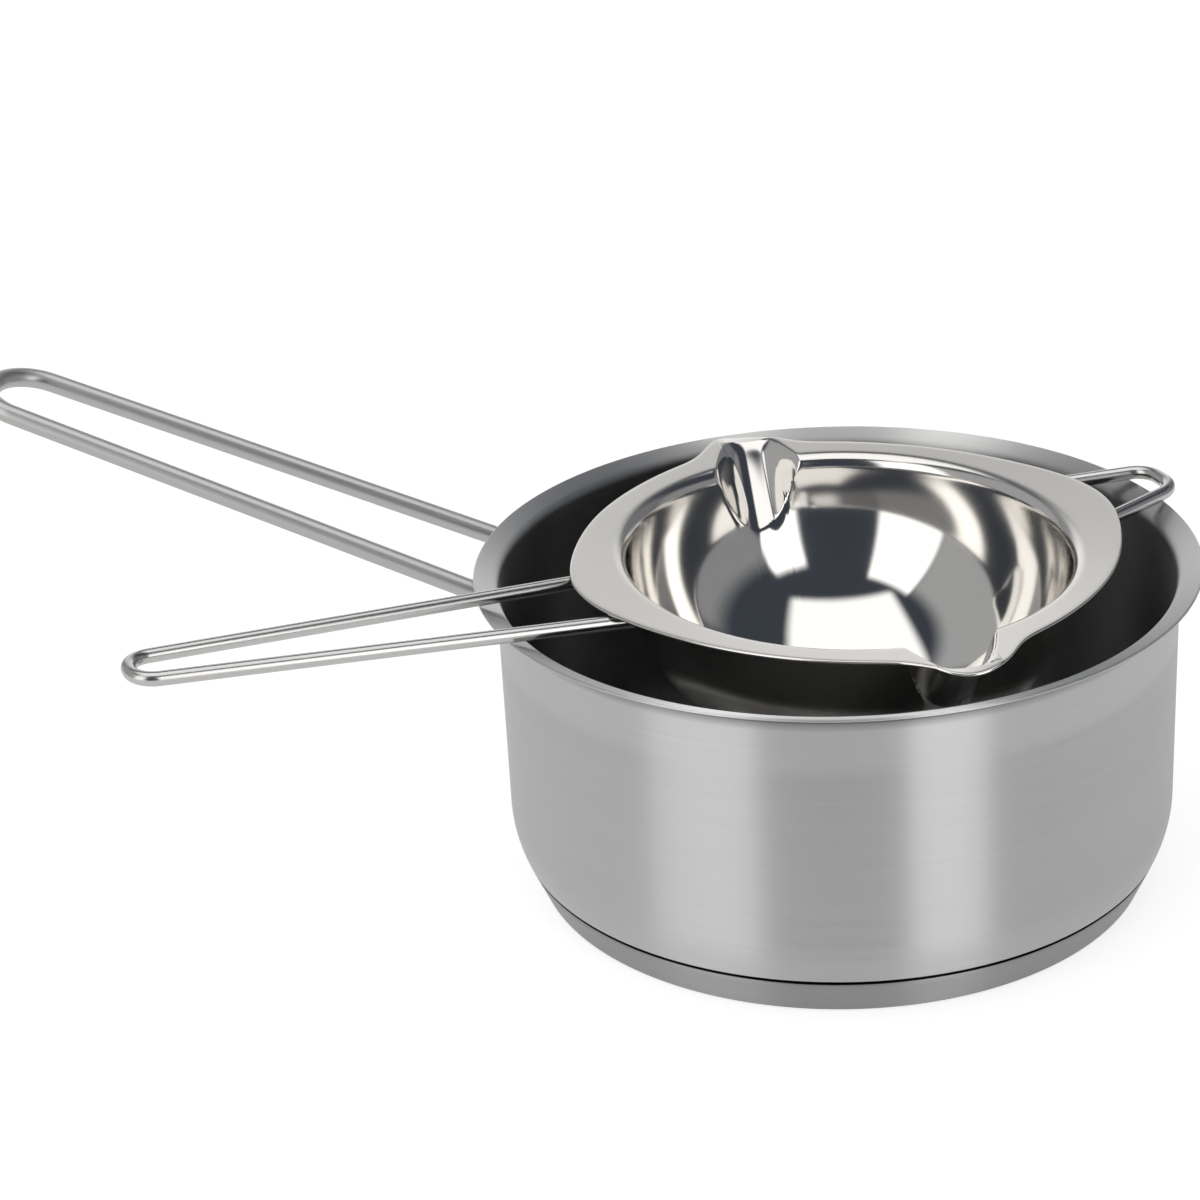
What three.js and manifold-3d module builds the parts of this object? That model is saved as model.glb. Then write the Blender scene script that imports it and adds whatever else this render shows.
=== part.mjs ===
// A melting pot in two pieces: a small steel saucepan for the water, and a spouted bowl that hangs in its mouth.
// Millimetres, +Z up. The origin is the middle of the saucepan's foot, and the saucepan's handle points along -X.
import * as THREE from "three";
import { mergeVertices } from "three/addons/utils/BufferGeometryUtils.js";
import Module from "manifold-3d";

const wasm = await Module();
wasm.setup();

// Clearance between pieces that seat on each other
const SEAT = 0.3;

// Saucepan: the drawn vessel
const PAN_INNER_RADIUS = 80;
const PAN_HEIGHT = 79;
const PAN_SHEET = 0.7;
const LIP_FLARE = 5; // inside radius of the pouring lip's quarter round
const LIP_LAND = 0.6; // flat width at the end of the lip
const BELLY_RADIUS = 27.5; // outside radius where the wall draws in above the base

// Saucepan: the capsule base, a heat-spreading disc inside a pressed cap
const BASE_HEIGHT = 9.05;
const BASE_GROOVE = 1; // dark line between the cap's edge and the vessel
const BASE_TAPER = THREE.MathUtils.degToRad(21.7); // the cap's side, off the vertical
const BASE_SHEET = 0.7;
const BASE_FOOT_RADIUS = 0.8;
const CORE_THICKNESS = 4.9;

// Saucepan: the handle, one bent wire on a curved weld plate
const PAN_WIRE = 5;
const PAN_HANDLE_REACH = 213; // from the pan's axis to the wire's middle at the far end
const PAN_HANDLE_SLOPE = THREE.MathUtils.degToRad(18.3);
const PAN_HANDLE_DROP = 3.8; // the wire's middle at the plate, below where the lip starts
const PAN_HANDLE_ROOT_WIDTH = 31.2; // between the wire's two ends at the plate
const PAN_HANDLE_END_WIDTH = 22.7;
const PAN_HANDLE_END_BEND = 11;
const PLATE_THICKNESS = 1.2;
const PLATE_HEIGHT = 6.6;
const PLATE_MARGIN = 4.5; // plate beyond the wire's ends, to each side
const PLATE_CORNER = 2.4;
const PLATE_TRIM = 1.1; // the bent strip, as a share of the plate's width, before it is trimmed

// Melting bowl: the pressed shell
const BOWL_SHEET = 0.8;
const BOWL_MOUTH_RADIUS = 52; // inside the top of the wall
const BOWL_DEPTH = 51; // below the flange's edge
const BOWL_FULLNESS = 2; // exponent of the wall's curve: 2 is an ellipse, more is fuller
const BOWL_OVAL = 0.09; // share by which the bowl is longer between the spouts
const BOWL_SHOULDER = 3.5; // radius between the flange and the wall
const FLANGE_RADIUS = 63.8;
const FLANGE_SLOPE = THREE.MathUtils.degToRad(3.5); // the flange rises outwards
const EAR_REACH = 3.6; // how far the flange widens over each wire
const EAR_SPREAD = THREE.MathUtils.degToRad(20);
const SPOUT_ANGLES = [88, 268].map(THREE.MathUtils.degToRad); // from the hook's side
const SPOUT_SWERVE = THREE.MathUtils.degToRad(-9.5); // the trough's heading, off its spout's
const SPOUT_REACH = 12.6; // how far each spout's lip stands out from the flange
const SPOUT_FOOT_SHARE = 0.3; // of that reach, the part that a wide foot takes up
const SPOUT_FOOT_SPREAD = THREE.MathUtils.degToRad(25);
const SPOUT_TIP_SPREAD = THREE.MathUtils.degToRad(8.8);
const SPOUT_TIP_BLUNTNESS = 2.4; // exponent of the tip's curve: 2 is a bell, more is blunter
const SPOUT_BAND = 3.6; // flange left beyond the trough at the tip
const SPOUT_RUN = 22; // from the trough's outer end to where it opens in the bowl's wall
const SPOUT_LIP_DEPTH = 0.3; // dip of the lip
const SPOUT_MOUTH_DEPTH = 21.5; // below the flange at the wall
const SPOUT_LIP_WIDTH = 6;
const SPOUT_MOUTH_WIDTH = 25.5;
const SPOUT_SCOOP = 0.9; // exponent of the trough's depth from lip to mouth: 1 is a straight cone
const SPOUT_FLARE = 0.6; // exponent of the trough's width
const SPOUT_ROUNDNESS = 2.4; // exponent of the trough's section: 2 is a parabola, more is flatter below
const SPOUT_CREASE = 3; // depth over which the trough's edges are rounded

// Melting bowl: the wires under its flange, which rise a little to rest on the pan's lip
const BOWL_WIRE = 3.5;
const BOWL_HANDLE_PAST_LIP = 84; // from the pan's lip to the wire's middle at the far end
const BOWL_HANDLE_ROOT_WIDTH = 26;
const BOWL_HANDLE_END_WIDTH = 12;
const BOWL_HANDLE_END_BEND = 5.8;
const HOOK_PAST_LIP = 4.3;
const HOOK_ROOT_WIDTH = 30;
const HOOK_END_WIDTH = 13;
const HOOK_END_BEND = 6.5;
const HOOK_ASIDE = 2; // the hook's middle, to the side of the bowl's

// How the bowl lies in the pan
const BOWL_TURN = THREE.MathUtils.degToRad(34.6);
const BOWL_SHIFT = new THREE.Vector2(2.8, 1.2);
const FLANGE_RISE = 3.56; // flange's edge above the pan's rim

// Fineness of the faceted solids
const ROUND_STEPS = 72;
const WIRE_SIDES = 12;
const BEND_STEP = THREE.MathUtils.degToRad(15);
const BOWL_RAYS = 84;
const BOWL_RINGS = 20;
const RAY_CROWDING = 0.6; // share by which the rays crowd towards the spouts
const RAY_SAMPLES = 160;
const TURN_WEIGHT = 8; // millimetres of run that a radian of bend counts for

// Sizes that follow from those above
const panOuterRadius = PAN_INNER_RADIUS + PAN_SHEET;
const lipStart = PAN_HEIGHT - LIP_FLARE;
const lipEdgeRadius = PAN_INNER_RADIUS + LIP_FLARE + LIP_LAND;
const floorUnderside = BASE_SHEET + SEAT + CORE_THICKNESS + SEAT;
const floorTop = floorUnderside + PAN_SHEET;
const grooveTop = BASE_HEIGHT + BASE_GROOVE;
const bellyTop = grooveTop + BELLY_RADIUS * Math.sin(BASE_TAPER);
const bellyFootRadius = panOuterRadius - BELLY_RADIUS * (1 - Math.cos(BASE_TAPER));
const capWallAcross = BASE_SHEET / Math.cos(BASE_TAPER);
const seatAcross = SEAT / Math.cos(BASE_TAPER);
const plateInnerRadius = panOuterRadius + SEAT;
const plateOuterRadius = plateInnerRadius + PLATE_THICKNESS;
const handleRootRadius = plateOuterRadius + SEAT;
const flangeTop = PAN_HEIGHT + FLANGE_RISE;
const earRadius = FLANGE_RADIUS + EAR_REACH;
const bowlForward = BOWL_SHIFT.dot(new THREE.Vector2(Math.cos(BOWL_TURN), Math.sin(BOWL_TURN)));
const earHeight = EAR_REACH * Math.tan(FLANGE_SLOPE);
const wireEdgeHeight = earHeight - BOWL_SHEET - SEAT - BOWL_WIRE / 2;
const wireRestHeight = SEAT + BOWL_WIRE / 2 - FLANGE_RISE;
const troughEnd = FLANGE_RADIUS + SPOUT_REACH - SPOUT_BAND;
const troughPivot = BOWL_MOUTH_RADIUS * (1 + BOWL_OVAL);
const troughLength = BOWL_MOUTH_RADIUS / 2; // further in, its floor lies above the bowl's wall
const flangeStart = BOWL_MOUTH_RADIUS + BOWL_SHOULDER * (1 - Math.sin(FLANGE_SLOPE));
const wallTop = (flangeStart - FLANGE_RADIUS) * Math.tan(FLANGE_SLOPE) - BOWL_SHOULDER * Math.cos(FLANGE_SLOPE);
const spoutLine = (SPOUT_ANGLES[0] + SPOUT_ANGLES[1] - Math.PI) / 2;

// Outer radius of the base cap at a height, on its cone
function capRadiusAt(z) {
  return bellyFootRadius - (grooveTop - z) * Math.tan(BASE_TAPER);
}

// Inside radius of the vessel's floor corner: its outside clears the cap's edge by the seat
function floorCornerRadius() {
  const inward = capRadiusAt(BASE_HEIGHT) - capWallAcross - seatAcross - PAN_INNER_RADIUS;
  const rise = BASE_HEIGHT - floorTop;
  const half = rise + PAN_SHEET - inward;
  return half + Math.sqrt(half ** 2 - inward ** 2 - rise ** 2 + PAN_SHEET ** 2);
}

// Points of a circular arc in a profile's plane, ends included
function arc(centreX, centreZ, radius, from, to, steps) {
  return new THREE.EllipseCurve(centreX, centreZ, radius, radius, from, to, to < from).getPoints(steps);
}

// A solid of revolution about Z from its profile of [radius, height] points
function turned(profile) {
  const geometry = new THREE.LatheGeometry(profile, ROUND_STEPS);
  geometry.rotateX(Math.PI / 2);
  return geometry;
}

function point(radius, z) {
  return new THREE.Vector2(radius, z);
}

function panBody() {
  const corner = floorCornerRadius();
  const cornerX = PAN_INNER_RADIUS - corner;
  const cornerZ = floorTop + corner;
  const underCorner = corner + PAN_SHEET;
  const grooveAngle = -Math.asin((cornerZ - grooveTop) / underCorner);
  const flareX = PAN_INNER_RADIUS + LIP_FLARE;
  const edgeZ = PAN_HEIGHT - PAN_SHEET / 2;
  return turned([
    point(0, floorUnderside),
    ...arc(cornerX, cornerZ, underCorner, -Math.PI / 2, grooveAngle, 4),
    ...arc(panOuterRadius - BELLY_RADIUS, bellyTop, BELLY_RADIUS, -BASE_TAPER, 0, 4),
    ...arc(flareX, lipStart, LIP_FLARE - PAN_SHEET, Math.PI, Math.PI / 2, 4),
    ...arc(lipEdgeRadius, edgeZ, PAN_SHEET / 2, -Math.PI / 2, Math.PI / 2, 4),
    ...arc(flareX, lipStart, LIP_FLARE, Math.PI / 2, Math.PI, 5),
    ...arc(cornerX, cornerZ, corner, 0, -Math.PI / 2, 5),
    point(0, floorTop),
  ]);
}

function baseCap() {
  const footX = capRadiusAt(0) - BASE_FOOT_RADIUS;
  const innerFoot = BASE_SHEET;
  return turned([
    point(0, 0),
    ...arc(footX, BASE_FOOT_RADIUS, BASE_FOOT_RADIUS, -Math.PI / 2, -BASE_TAPER, 3),
    point(capRadiusAt(BASE_HEIGHT), BASE_HEIGHT),
    point(capRadiusAt(BASE_HEIGHT) - capWallAcross, BASE_HEIGHT),
    point(capRadiusAt(innerFoot) - capWallAcross, innerFoot),
    point(0, innerFoot),
  ]);
}

function baseCoreDisc() {
  const low = BASE_SHEET + SEAT;
  const high = low + CORE_THICKNESS;
  const across = capWallAcross + seatAcross;
  return turned([
    point(0, low),
    point(capRadiusAt(low) - across, low),
    point(capRadiusAt(high) - across, high),
    point(0, high),
  ]);
}

// A wire's centreline: straight runs between corners, each corner rounded by a true arc.
// Its stations are the ends of the runs and a few points on each bend, so straight runs stay one step long.
class WirePath extends THREE.Curve {
  constructor(corners, bends) {
    super();
    const runs = corners.slice(1).map((corner, i) => corner.clone().sub(corners[i]).normalize());
    this.stations = [{ at: corners[0], along: runs[0] }];
    bends.forEach((radius, i) => this.addBend(corners[i + 1], runs[i], runs[i + 1], radius));
    this.stations.push({ at: corners.at(-1), along: runs.at(-1) });
  }

  addBend(corner, into, out, radius) {
    const turn = into.angleTo(out);
    const side = out.clone().addScaledVector(into, -out.dot(into)).normalize();
    const start = corner.clone().addScaledVector(into, -radius * Math.tan(turn / 2));
    const centre = start.clone().addScaledVector(side, radius);
    const steps = Math.ceil(turn / BEND_STEP);
    for (let i = 0; i <= steps; i++) {
      const angle = (turn * i) / steps;
      const along = into.clone().multiplyScalar(Math.cos(angle)).addScaledVector(side, Math.sin(angle));
      const outward = into.clone().multiplyScalar(Math.sin(angle)).addScaledVector(side, -Math.cos(angle));
      this.stations.push({ at: centre.clone().addScaledVector(outward, radius), along });
    }
  }

  get steps() {
    return this.stations.length - 1;
  }

  getPoint(t, target = new THREE.Vector3()) {
    return target.copy(this.stations[Math.round(t * this.steps)].at);
  }

  getPointAt(t, target) {
    return this.getPoint(t, target);
  }

  getTangentAt(t, target = new THREE.Vector3()) {
    return target.copy(this.stations[Math.round(t * this.steps)].along);
  }
}

function roundWire(path, diameter) {
  const section = new THREE.Shape().absarc(0, 0, diameter / 2, 0, 2 * Math.PI);
  return new THREE.ExtrudeGeometry(section, {
    extrudePath: path,
    steps: path.steps,
    curveSegments: WIRE_SIDES / 2,
    bevelEnabled: false,
  });
}

function manifoldOf(geometry) {
  const bare = geometry.index ? geometry.toNonIndexed() : geometry.clone();
  bare.deleteAttribute("normal");
  bare.deleteAttribute("uv");
  const merged = mergeVertices(bare);
  return new wasm.Manifold(
    new wasm.Mesh({
      numProp: 3,
      vertProperties: merged.attributes.position.array,
      triVerts: new Uint32Array(merged.index.array),
    }),
  );
}

function geometryOf(solid) {
  const mesh = solid.getMesh();
  return new THREE.BufferGeometry()
    .setAttribute("position", new THREE.BufferAttribute(mesh.vertProperties, 3))
    .setIndex(new THREE.BufferAttribute(mesh.triVerts, 1));
}

function roundedRectangle(halfWidth, low, high, radius) {
  return new THREE.Shape()
    .absarc(halfWidth - radius, high - radius, radius, 0, Math.PI / 2)
    .absarc(-halfWidth + radius, high - radius, radius, Math.PI / 2, Math.PI)
    .absarc(-halfWidth + radius, low + radius, radius, Math.PI, 1.5 * Math.PI)
    .absarc(halfWidth - radius, low + radius, radius, 1.5 * Math.PI, 2 * Math.PI);
}

// The wire leaves the weld plate under the pan's lip and rises to its round end.
// Its ends start inside the plate's curve and are cut back to it.
function panHandle() {
  const rootHalf = PAN_HANDLE_ROOT_WIDTH / 2;
  const endHalf = PAN_HANDLE_END_WIDTH / 2;
  const rootX = Math.sqrt(handleRootRadius ** 2 - rootHalf ** 2);
  const rootHeight = lipStart - PAN_HANDLE_DROP;
  const endHeight = rootHeight + (PAN_HANDLE_REACH - rootX) * Math.tan(PAN_HANDLE_SLOPE);
  const side = (sign) => {
    const root = new THREE.Vector3(-rootX, sign * rootHalf, rootHeight);
    const end = new THREE.Vector3(-PAN_HANDLE_REACH, sign * endHalf, endHeight);
    const inward = root.clone().sub(end).setLength(PAN_WIRE);
    return [root.add(inward), end];
  };
  const corners = [...side(1), ...side(-1).reverse()];
  const bends = [PAN_HANDLE_END_BEND, PAN_HANDLE_END_BEND];
  const wire = manifoldOf(roundWire(new WirePath(corners, bends), PAN_WIRE));
  const cutter = wasm.Manifold.cylinder(PAN_HEIGHT, handleRootRadius, handleRootRadius, 2 * ROUND_STEPS);
  return geometryOf(wire.subtract(cutter));
}

// The weld plate: a strip of the pan's curve under its lip, trimmed to a rectangle with round corners
function panHandlePlate() {
  const halfWidth = PAN_HANDLE_ROOT_WIDTH / 2 + PLATE_MARGIN;
  const high = lipStart;
  const low = high - PLATE_HEIGHT;
  const halfAngle = PLATE_TRIM * Math.asin(halfWidth / plateOuterRadius);
  const strip = new THREE.Shape()
    .absarc(0, 0, plateOuterRadius, Math.PI - halfAngle, Math.PI + halfAngle)
    .absarc(0, 0, plateInnerRadius, Math.PI + halfAngle, Math.PI - halfAngle, true);
  const bent = new THREE.ExtrudeGeometry(strip, { depth: high - low, curveSegments: 8, bevelEnabled: false });
  bent.translate(0, 0, low);
  const outline = new THREE.ExtrudeGeometry(roundedRectangle(halfWidth, low, high, PLATE_CORNER), {
    depth: plateOuterRadius,
    curveSegments: 3,
    bevelEnabled: false,
  });
  outline.rotateX(Math.PI / 2);
  outline.rotateZ(-Math.PI / 2);
  outline.translate(-SEAT, 0, 0);
  return geometryOf(manifoldOf(bent).intersect(manifoldOf(outline)));
}

// The lower of two heights, with the crease between them rounded off
function softLower(a, b, depth) {
  const near = Math.max(depth - Math.abs(a - b), 0);
  return Math.min(a, b) - near ** 2 / (4 * depth);
}

// Height of the plain round bowl's inside at a radius: floor and wall, shoulder, then the rising flange
function roundBowlHeight(radius) {
  if (radius > flangeStart) return (radius - FLANGE_RADIUS) * Math.tan(FLANGE_SLOPE);
  if (radius > BOWL_MOUTH_RADIUS) {
    return wallTop + Math.sqrt(BOWL_SHOULDER ** 2 - (BOWL_MOUTH_RADIUS + BOWL_SHOULDER - radius) ** 2);
  }
  const share = 1 - (radius / BOWL_MOUTH_RADIUS) ** BOWL_FULLNESS;
  return wallTop - (BOWL_DEPTH + wallTop) * share ** (1 / BOWL_FULLNESS);
}

// Angle from the nearer spout to a ray
function offSpout(angle) {
  const turns = SPOUT_ANGLES.map((spout) => Math.atan2(Math.sin(angle - spout), Math.cos(angle - spout)));
  return turns.reduce((a, b) => (Math.abs(a) < Math.abs(b) ? a : b));
}

function ovalScale(angle) {
  return 1 + BOWL_OVAL * Math.cos(offSpout(angle)) ** 2;
}

// Height of a spout's trough: out is the distance along the spout, aside is the distance across it
function troughHeight(out, aside) {
  const share = THREE.MathUtils.clamp(troughEnd - out, 0, troughLength) / SPOUT_RUN;
  const depth = SPOUT_LIP_DEPTH + (SPOUT_MOUTH_DEPTH - SPOUT_LIP_DEPTH) * share ** SPOUT_SCOOP;
  const width = SPOUT_LIP_WIDTH + (SPOUT_MOUTH_WIDTH - SPOUT_LIP_WIDTH) * share ** SPOUT_FLARE;
  return depth * (Math.abs((2 * aside) / width) ** SPOUT_ROUNDNESS - 1);
}

function bowlHeight(radius, angle) {
  const off = offSpout(angle);
  const fromPivot = point(radius * Math.cos(off) - troughPivot, radius * Math.sin(off));
  const along = fromPivot.rotateAround(point(0, 0), -SPOUT_SWERVE);
  const trough = troughHeight(troughPivot + along.x, along.y);
  return softLower(roundBowlHeight(radius / ovalScale(angle)), trough, SPOUT_CREASE);
}

// The flange's outline: a circle with an ear over each wire and a lip at each spout
function flangeRadius(angle) {
  const offWire = Math.asin(Math.abs(Math.sin(angle)));
  const ear = EAR_REACH * Math.exp(-((offWire / EAR_SPREAD) ** 2));
  const off = Math.abs(offSpout(angle));
  const foot = SPOUT_FOOT_SHARE * Math.exp(-((off / SPOUT_FOOT_SPREAD) ** 2));
  const tip = (1 - SPOUT_FOOT_SHARE) * Math.exp(-((off / SPOUT_TIP_SPREAD) ** SPOUT_TIP_BLUNTNESS));
  return FLANGE_RADIUS + ear + SPOUT_REACH * (foot + tip);
}

// Radii along a ray at which the bowl is measured, close together where the wall is steep
function rayRadii(angle) {
  const mouth = BOWL_MOUTH_RADIUS * ovalScale(angle);
  const shoulder = BOWL_SHOULDER * ovalScale(angle);
  const edge = flangeRadius(angle);
  const each = Array.from({ length: RAY_SAMPLES }, (_, i) => i / RAY_SAMPLES);
  return [
    ...each.map((share) => mouth * Math.sin((share * Math.PI) / 2)),
    ...each.map((share) => mouth + shoulder * (1 - Math.cos((share * Math.PI) / 2))),
    ...each.map((share) => mouth + shoulder + (edge - mouth - shoulder) * share),
    edge,
  ];
}

// Points from the bowl's middle to the flange's edge, spaced by run and by how much the section bends
function bowlRay(angle) {
  const section = rayRadii(angle).map((radius) => point(radius, bowlHeight(radius, angle)));
  const headings = section.slice(1).map((p, i) => Math.atan2(p.y - section[i].y, p.x - section[i].x));
  const travelled = [0];
  headings.forEach((heading, i) => {
    const bend = i ? Math.abs(heading - headings[i - 1]) : 0;
    travelled.push(travelled[i] + section[i + 1].distanceTo(section[i]) + TURN_WEIGHT * bend);
  });
  const ray = [];
  for (let ring = 1, i = 1; ring <= BOWL_RINGS; ring++) {
    const wanted = (travelled.at(-1) * ring) / BOWL_RINGS;
    while (travelled[i] < wanted && i < section.length - 1) i++;
    const share = Math.min((wanted - travelled[i - 1]) / (travelled[i] - travelled[i - 1]), 1);
    const at = section[i - 1].clone().lerp(section[i], share);
    ray.push(new THREE.Vector3(at.x * Math.cos(angle), at.x * Math.sin(angle), at.y));
  }
  return ray;
}

// A sheet of even thickness under a round net of points: a middle, and rays that run out from it
function sheetShell(middle, rays, thickness) {
  const rings = rays[0].length;
  const at = (ray, ring) => 1 + (ray % rays.length) * rings + ring;
  const faces = [];
  rays.forEach((_, i) => {
    faces.push([0, at(i, 0), at(i + 1, 0)]);
    for (let ring = 1; ring < rings; ring++) {
      faces.push([at(i, ring - 1), at(i, ring), at(i + 1, ring)]);
      faces.push([at(i, ring - 1), at(i + 1, ring), at(i + 1, ring - 1)]);
    }
  });
  const upper = new THREE.BufferGeometry().setFromPoints([middle, ...rays.flat()]);
  upper.setIndex(faces.flat());
  upper.computeVertexNormals();
  const { position, normal } = upper.attributes;
  const count = position.count;
  const corner = new THREE.Vector3();
  const points = Array.from({ length: count }, (_, i) => new THREE.Vector3().fromBufferAttribute(position, i));
  const under = points.map((p, i) =>
    p.clone().addScaledVector(corner.fromBufferAttribute(normal, i), -thickness),
  );
  const underFaces = faces.map(([a, b, c]) => [a + count, c + count, b + count]);
  const edgeFaces = rays.flatMap((_, i) => {
    const here = at(i, rings - 1);
    const next = at(i + 1, rings - 1);
    return [
      [here, here + count, next + count],
      [here, next + count, next],
    ];
  });
  const shell = new THREE.BufferGeometry().setFromPoints([...points, ...under]);
  shell.setIndex([faces, underFaces, edgeFaces].flat(2));
  return shell;
}

function bowlShell() {
  const rays = Array.from({ length: BOWL_RAYS }, (_, i) => {
    const even = (2 * Math.PI * i) / BOWL_RAYS;
    return bowlRay(even - (RAY_CROWDING / 2) * Math.sin(2 * (even - spoutLine)));
  });
  return sheetShell(new THREE.Vector3(0, 0, bowlHeight(0, 0)), rays, BOWL_SHEET);
}

// A straight wire loop that passes under the flange's ear and rises to rest on the pan's lip.
// Its heading is 1 on the hook's side and -1 on the handle's, and its ends stop short of the bowl's wall.
function flangeLoop(heading, pastLip, rootWidth, endWidth, endBend, aside) {
  const rootX = BOWL_MOUTH_RADIUS + BOWL_SHOULDER + BOWL_SHEET + SEAT;
  const lipX = PAN_INNER_RADIUS + LIP_FLARE - heading * bowlForward;
  const reach = lipX + pastLip;
  const slope = (wireRestHeight - wireEdgeHeight) / (lipX - earRadius);
  const corner = (x, y) =>
    new THREE.Vector3(heading * x, aside + y, wireEdgeHeight + (x - earRadius) * slope);
  const corners = [
    corner(rootX, rootWidth / 2),
    corner(reach, endWidth / 2),
    corner(reach, -endWidth / 2),
    corner(rootX, -rootWidth / 2),
  ];
  return roundWire(new WirePath(corners, [endBend, endBend]), BOWL_WIRE);
}

function bowlHandle() {
  const width = BOWL_HANDLE_ROOT_WIDTH;
  return flangeLoop(-1, BOWL_HANDLE_PAST_LIP, width, BOWL_HANDLE_END_WIDTH, BOWL_HANDLE_END_BEND, 0);
}

function bowlHook() {
  return flangeLoop(1, HOOK_PAST_LIP, HOOK_ROOT_WIDTH, HOOK_END_WIDTH, HOOK_END_BEND, HOOK_ASIDE);
}

function metal(color, roughness) {
  return new THREE.MeshStandardMaterial({ color, roughness, metalness: 1 });
}

const satinSteel = metal(0xb9b9b7, 0.38);
const satinWire = metal(0xaeadaa, 0.42);
const polishedSteel = metal(0xd2d0cc, 0.1);
const polishedWire = metal(0xc4c3c0, 0.16);
const aluminium = metal(0xc8cacc, 0.5);

function piece(name, geometry, material) {
  const mesh = new THREE.Mesh(geometry, material);
  mesh.name = name;
  return mesh;
}

const saucepan = new THREE.Group();
saucepan.add(
  piece("pan_body", panBody(), satinSteel),
  piece("base_core_disc", baseCoreDisc(), aluminium),
  piece("base_cap", baseCap(), satinSteel),
  piece("pan_handle_plate", panHandlePlate(), satinSteel),
  piece("pan_handle", panHandle(), satinWire),
);

const bowl = new THREE.Group();
bowl.position.set(BOWL_SHIFT.x, BOWL_SHIFT.y, flangeTop);
bowl.rotation.z = BOWL_TURN;
bowl.add(
  piece("bowl_shell", bowlShell(), polishedSteel),
  piece("bowl_handle", bowlHandle(), polishedWire),
  piece("bowl_hook", bowlHook(), polishedWire),
);

const meltingPot = new THREE.Group();
meltingPot.add(saucepan, bowl);

export default meltingPot;
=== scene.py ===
import math

import bmesh
import bpy
import numpy as np
from mathutils import Matrix, Vector


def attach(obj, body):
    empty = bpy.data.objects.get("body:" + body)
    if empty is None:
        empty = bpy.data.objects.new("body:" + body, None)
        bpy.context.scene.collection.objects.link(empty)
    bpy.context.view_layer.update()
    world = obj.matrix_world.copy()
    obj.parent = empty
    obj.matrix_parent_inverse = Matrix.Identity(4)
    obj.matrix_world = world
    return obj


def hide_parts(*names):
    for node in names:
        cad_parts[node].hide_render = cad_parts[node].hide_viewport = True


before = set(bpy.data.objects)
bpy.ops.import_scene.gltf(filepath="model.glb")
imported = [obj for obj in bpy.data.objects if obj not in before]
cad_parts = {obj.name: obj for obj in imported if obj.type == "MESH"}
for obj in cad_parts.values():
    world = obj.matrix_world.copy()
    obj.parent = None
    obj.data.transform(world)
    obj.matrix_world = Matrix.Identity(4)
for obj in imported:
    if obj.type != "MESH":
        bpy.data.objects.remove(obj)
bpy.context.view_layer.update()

# Millimetres to metres
MM = 0.001

# Sizes of the solids, in millimetres and radians
SEAT = 0.3
PAN_INNER_RADIUS = 80.0
PAN_HEIGHT = 79.0
PAN_SHEET = 0.7
LIP_FLARE = 5.0
LIP_LAND = 0.6
BELLY_RADIUS = 27.5
BASE_HEIGHT = 9.05
BASE_GROOVE = 1.0
BASE_TAPER = math.radians(21.7)
BASE_SHEET = 0.7
BASE_FOOT_RADIUS = 0.8
CORE_THICKNESS = 4.9
PAN_WIRE = 5.0
PAN_HANDLE_REACH = 213.0
PAN_HANDLE_SLOPE = math.radians(18.3)
PAN_HANDLE_DROP = 3.8
PAN_HANDLE_ROOT_WIDTH = 31.2
PAN_HANDLE_END_WIDTH = 22.7
PAN_HANDLE_END_BEND = 11.0
PLATE_THICKNESS = 1.2
PLATE_HEIGHT = 6.6
PLATE_MARGIN = 4.5
PLATE_CORNER = 2.4
BOWL_SHEET = 0.8
BOWL_MOUTH_RADIUS = 52.0
BOWL_DEPTH = 51.0
BOWL_OVAL = 0.09
BOWL_SHOULDER = 3.5
FLANGE_RADIUS = 63.8
FLANGE_SLOPE = math.radians(3.5)
EAR_REACH = 3.6
EAR_SPREAD = math.radians(20)
SPOUT_ANGLES = np.radians([88, 268])
SPOUT_SWERVE = math.radians(-9.5)
SPOUT_REACH = 12.6
SPOUT_FOOT_SHARE = 0.3
SPOUT_FOOT_SPREAD = math.radians(25)
SPOUT_TIP_SPREAD = math.radians(8.8)
SPOUT_TIP_BLUNTNESS = 2.4
SPOUT_BAND = 3.6
SPOUT_RUN = 22.0
SPOUT_LIP_DEPTH = 0.3
SPOUT_MOUTH_DEPTH = 21.5
SPOUT_LIP_WIDTH = 6.0
SPOUT_MOUTH_WIDTH = 25.5
SPOUT_SCOOP = 0.9
SPOUT_FLARE = 0.6
SPOUT_ROUNDNESS = 2.4
SPOUT_CREASE = 3.0
BOWL_WIRE = 3.5
BOWL_HANDLE_PAST_LIP = 84.0
BOWL_HANDLE_ROOT_WIDTH = 26.0
BOWL_HANDLE_END_WIDTH = 12.0
BOWL_HANDLE_END_BEND = 5.8
HOOK_PAST_LIP = 4.3
HOOK_ROOT_WIDTH = 30.0
HOOK_END_WIDTH = 13.0
HOOK_END_BEND = 6.5
HOOK_ASIDE = 2.0
BOWL_TURN = math.radians(34.6)
BOWL_SHIFT = np.array([2.8, 1.2])
FLANGE_RISE = 3.56

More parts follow.
